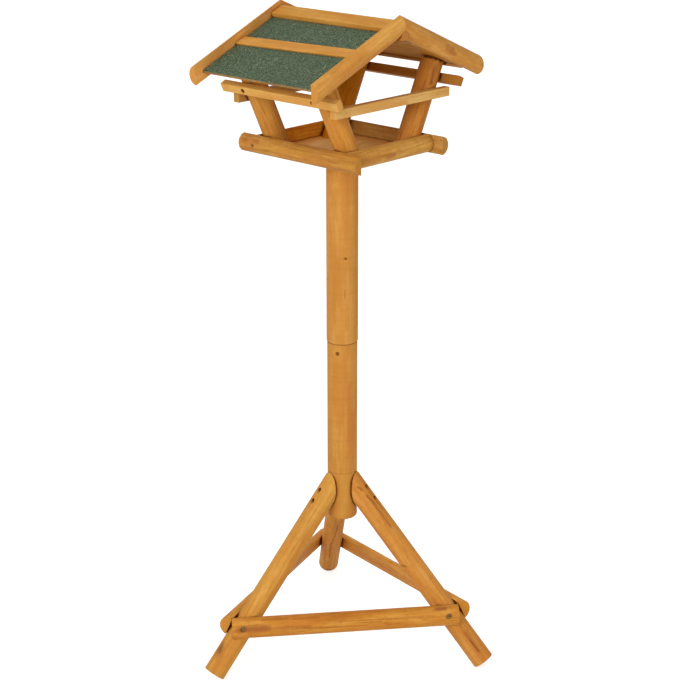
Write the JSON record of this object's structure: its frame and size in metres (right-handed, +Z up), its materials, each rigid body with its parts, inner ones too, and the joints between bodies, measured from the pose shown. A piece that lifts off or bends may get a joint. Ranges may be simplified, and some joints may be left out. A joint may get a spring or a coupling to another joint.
{
  "type": "bird table",
  "caption": "Gabled wooden bird table: railed tray on leaning corner posts with perches under a felted roof, on a round post and a braced tripod.",
  "frame": {"origin": "on the ground, on the axis of the post", "axes": "+Z up, X across the gables with the left roof slope on -X, Y along the ridge with the near gable on -Y"},
  "size_m": [0.5032, 0.5215, 1.1999],
  "materials": {
    "dowel_wood": "plain beech",
    "fastener_steel": "zinc-plated steel, dulled",
    "floor_plywood": "thin plywood, thinly stained",
    "house_wood": "orange-brown stained softwood, satin",
    "pin_wood": "dark stained hardwood",
    "post_wood": "orange-brown stained turned softwood, satin",
    "roof_felt": "green mineral-faced roofing felt, matte",
    "roof_plywood": "thin stained plywood",
    "roof_wood": "orange-brown stained softwood, satin",
    "tripod_wood": "orange-brown stained softwood, satin",
    "under_roof_wood": "orange-brown stained softwood, in shade"
  },
  "bodies": {
    "root": {"barge_board_left_far": "roof_wood", "barge_board_left_near": "roof_wood", "barge_board_right_far": "roof_wood", "barge_board_right_near": "roof_wood", "brace_front": "tripod_wood", "brace_rear_left": "tripod_wood", "brace_rear_right": "tripod_wood", "brace_screws": "fastener_steel", "cleat_screws": "fastener_steel", "corner_post_left_far": "house_wood", "corner_post_left_near": "house_wood", "corner_post_right_far": "house_wood", "corner_post_right_near": "house_wood", "corner_post_screws": "fastener_steel", "eave_batten_left": "under_roof_wood", "eave_batten_right": "under_roof_wood", "floor_screws": "fastener_steel", "gable_cleat_left_far": "under_roof_wood", "gable_cleat_left_near": "under_roof_wood", "gable_cleat_right_far": "under_roof_wood", "gable_cleat_right_near": "under_roof_wood", "hub_block": "tripod_wood", "hub_dowel": "dowel_wood", "joint_pin": "pin_wood", "leg_left": "tripod_wood", "leg_rear": "tripod_wood", "leg_right": "tripod_wood", "leg_screws": "fastener_steel", "lower_post": "post_wood", "perch_and_rail_nails": "fastener_steel", "perch_far": "house_wood", "perch_left": "house_wood", "perch_near": "house_wood", "perch_right": "house_wood", "post_dowel": "dowel_wood", "rail_screws": "fastener_steel", "ridge_beam": "under_roof_wood", "ridge_slat_left": "roof_wood", "ridge_slat_right": "roof_wood", "roof_batten_left": "roof_wood", "roof_batten_right": "roof_wood", "roof_felt_left": "roof_felt", "roof_felt_right": "roof_felt", "roof_lining_left": "under_roof_wood", "roof_lining_right": "under_roof_wood", "roof_panel_left": "roof_plywood", "roof_panel_right": "roof_plywood", "side_perch_screws": "fastener_steel", "tray_floor": "floor_plywood", "tray_rail_far": "house_wood", "tray_rail_left": "house_wood", "tray_rail_near": "house_wood", "tray_rail_right": "house_wood", "upper_post": "post_wood"}
  },
  "joints": []
}
